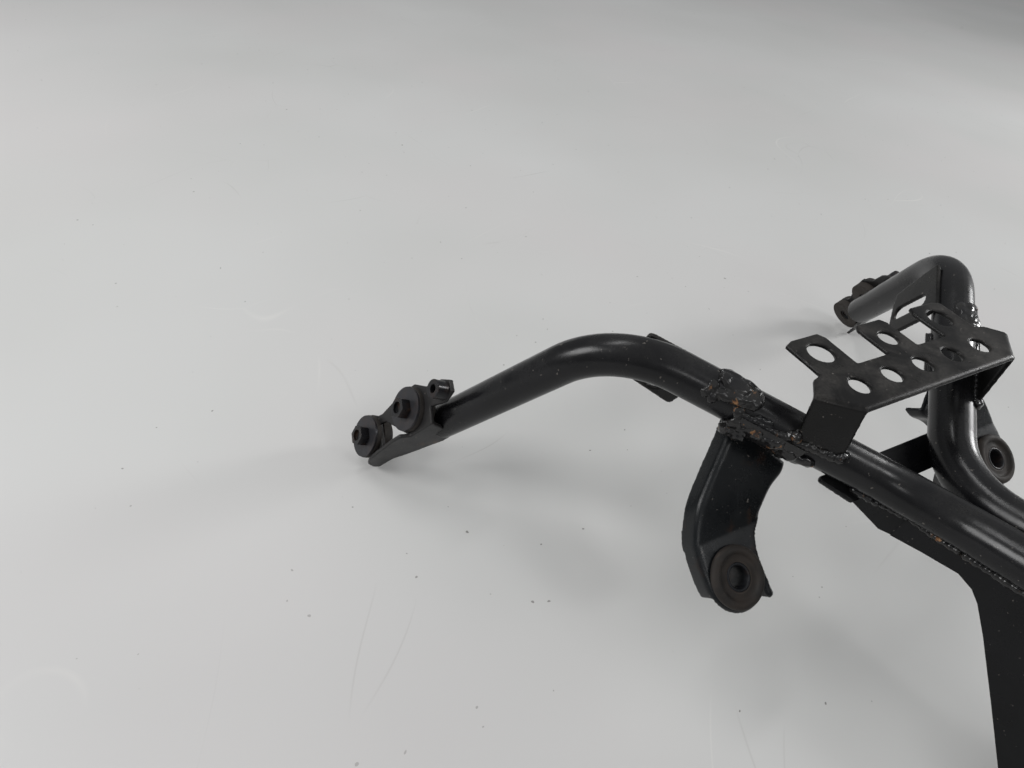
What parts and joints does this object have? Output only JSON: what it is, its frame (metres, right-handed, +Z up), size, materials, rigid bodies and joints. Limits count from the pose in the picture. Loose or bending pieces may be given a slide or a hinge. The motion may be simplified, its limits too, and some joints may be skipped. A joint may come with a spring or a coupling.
{
  "type": "motorcycle fairing stay",
  "caption": "Welded twin-tube fairing stay with head bracket, cross strap, perforated bridge bracket, grommet arms and rubber-mounted end brackets, in black paint.",
  "frame": {"origin": "centre of the four-bolt pattern on the rear face of the mounting flange", "axes": "+Y forward from the flange towards the end brackets, +X to the rider's right, +Z up"},
  "size_m": [0.432, 0.3073, 0.1388],
  "materials": {
    "frame_paint": "semi-gloss",
    "rubber": "matte",
    "collar_steel": "satin",
    "bolt_steel": "satin",
    "washer_steel": "satin"
  },
  "bodies": {
    "root": {"bridge_bracket": "frame_paint", "cross_strap": "frame_paint", "head_bracket": "frame_paint", "left_arm": "frame_paint", "left_arm_collar": "collar_steel", "left_arm_grommet": "rubber", "left_arm_saddle": "frame_paint", "left_bend_gusset": "frame_paint", "left_boss_pad": "frame_paint", "left_end_bracket": "frame_paint", "left_end_bush": "bolt_steel", "left_inner_bolt": "bolt_steel", "left_inner_pad": "rubber", "left_inner_sleeve": "collar_steel", "left_inner_washer": "washer_steel", "left_outer_bolt": "bolt_steel", "left_outer_pad": "rubber", "left_outer_sleeve": "collar_steel", "left_outer_washer": "washer_steel", "left_tube": "frame_paint", "mounting_flange": "frame_paint", "right_arm": "frame_paint", "right_arm_collar": "collar_steel", "right_arm_grommet": "rubber", "right_arm_saddle": "frame_paint", "right_bend_gusset": "frame_paint", "right_boss_pad": "frame_paint", "right_end_bracket": "frame_paint", "right_end_bush": "bolt_steel", "right_inner_bolt": "bolt_steel", "right_inner_pad": "rubber", "right_inner_sleeve": "collar_steel", "right_inner_washer": "washer_steel", "right_outer_bolt": "bolt_steel", "right_outer_pad": "rubber", "right_outer_sleeve": "collar_steel", "right_outer_washer": "washer_steel", "right_tube": "frame_paint"}
  },
  "joints": []
}
